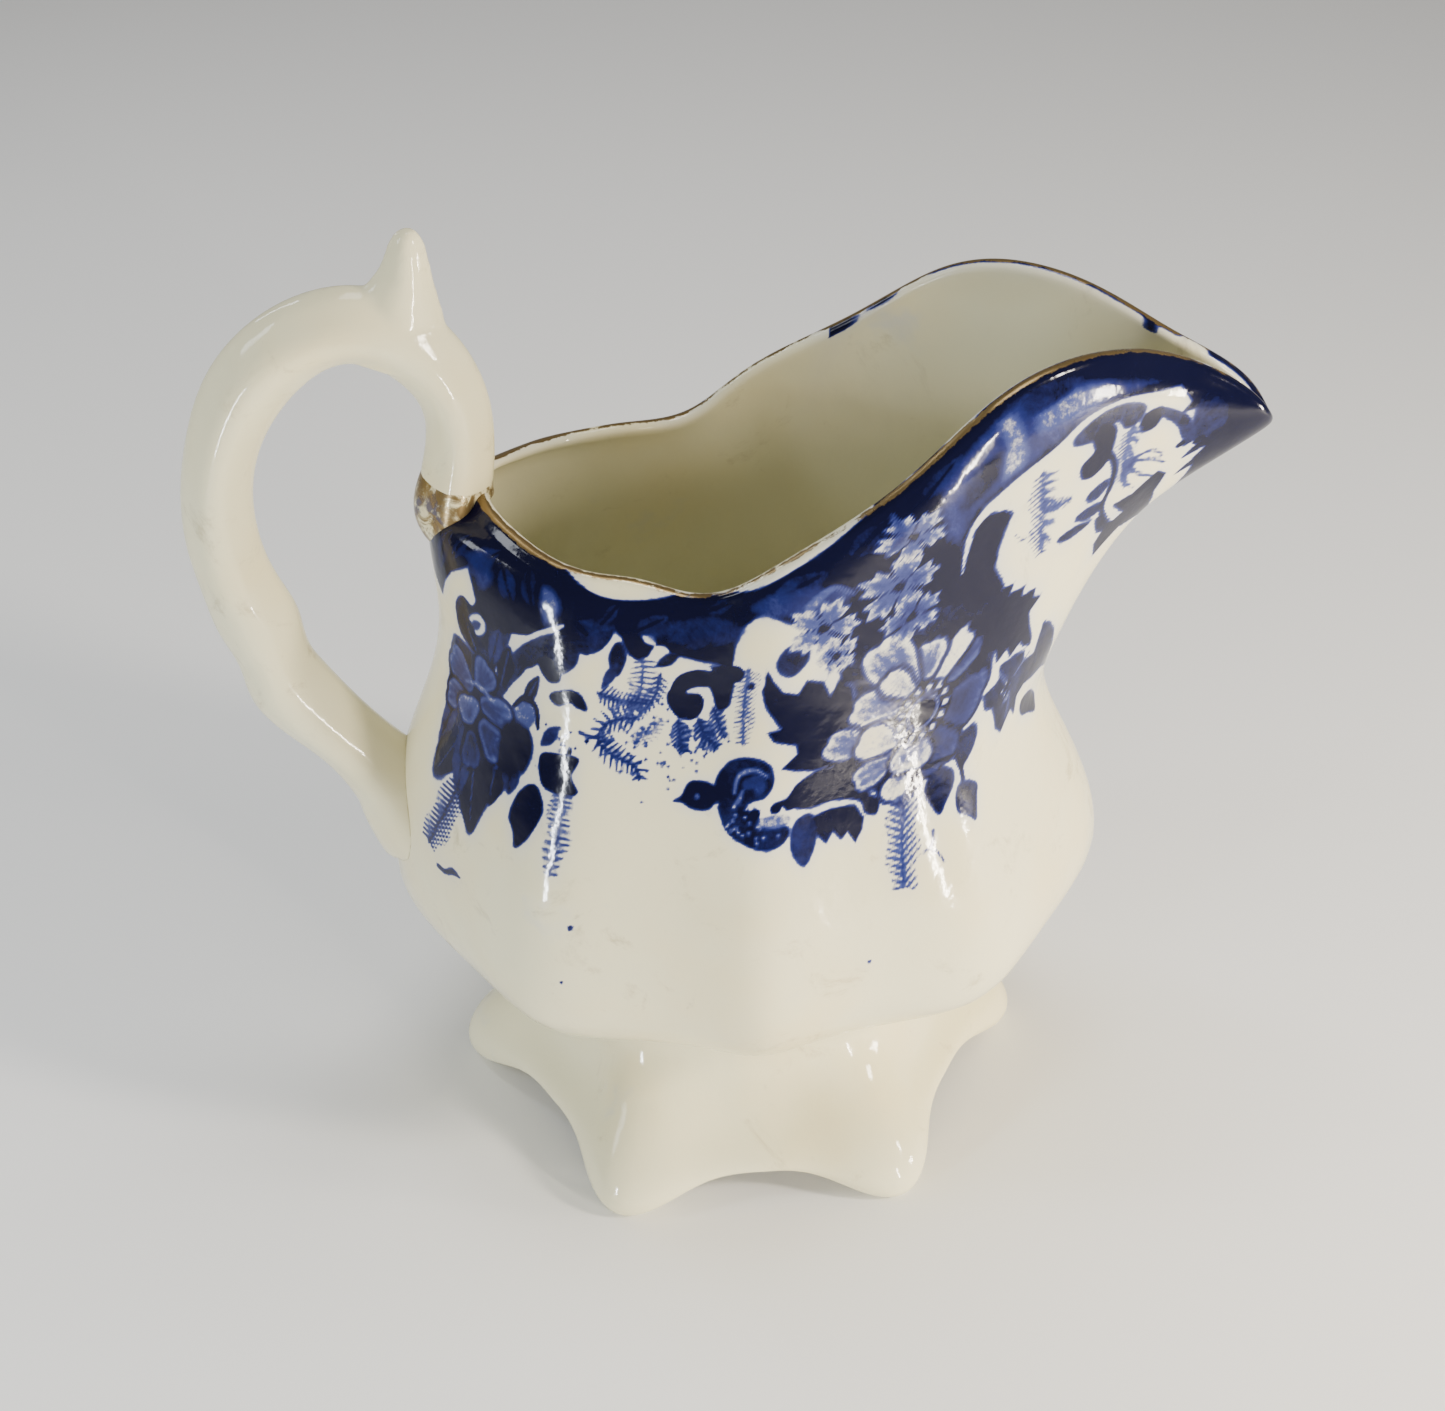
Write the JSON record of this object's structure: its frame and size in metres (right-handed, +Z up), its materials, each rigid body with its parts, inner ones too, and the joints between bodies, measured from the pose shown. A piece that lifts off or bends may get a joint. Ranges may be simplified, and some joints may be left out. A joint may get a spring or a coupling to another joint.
{
  "type": "cream jug",
  "caption": "Small panelled oval porcelain cream jug with a raised beaked spout, scroll handle with thumb spur and a skirted foot on toes.",
  "frame": {"origin": "on the surface the jug stands on, under the middle of the body and foot", "axes": "+Z up, +X towards the spout, handle at -X, Y across the jug"},
  "size_m": [0.1289, 0.0734, 0.1256],
  "materials": {
    "printed_glaze": "gloss white glaze with a dark blue flowing print",
    "white_glaze": "gloss cream-white glaze",
    "slip_glaze": "gloss glaze pooled over the slip, a little warmer",
    "gilt_glaze": "gloss glaze with worn brown gilding"
  },
  "bodies": {
    "root": {"body": "printed_glaze", "foot": "white_glaze", "foot_joint": "slip_glaze", "handle": "white_glaze", "upper_handle_joint": "gilt_glaze", "lower_handle_joint": "slip_glaze"}
  },
  "joints": []
}
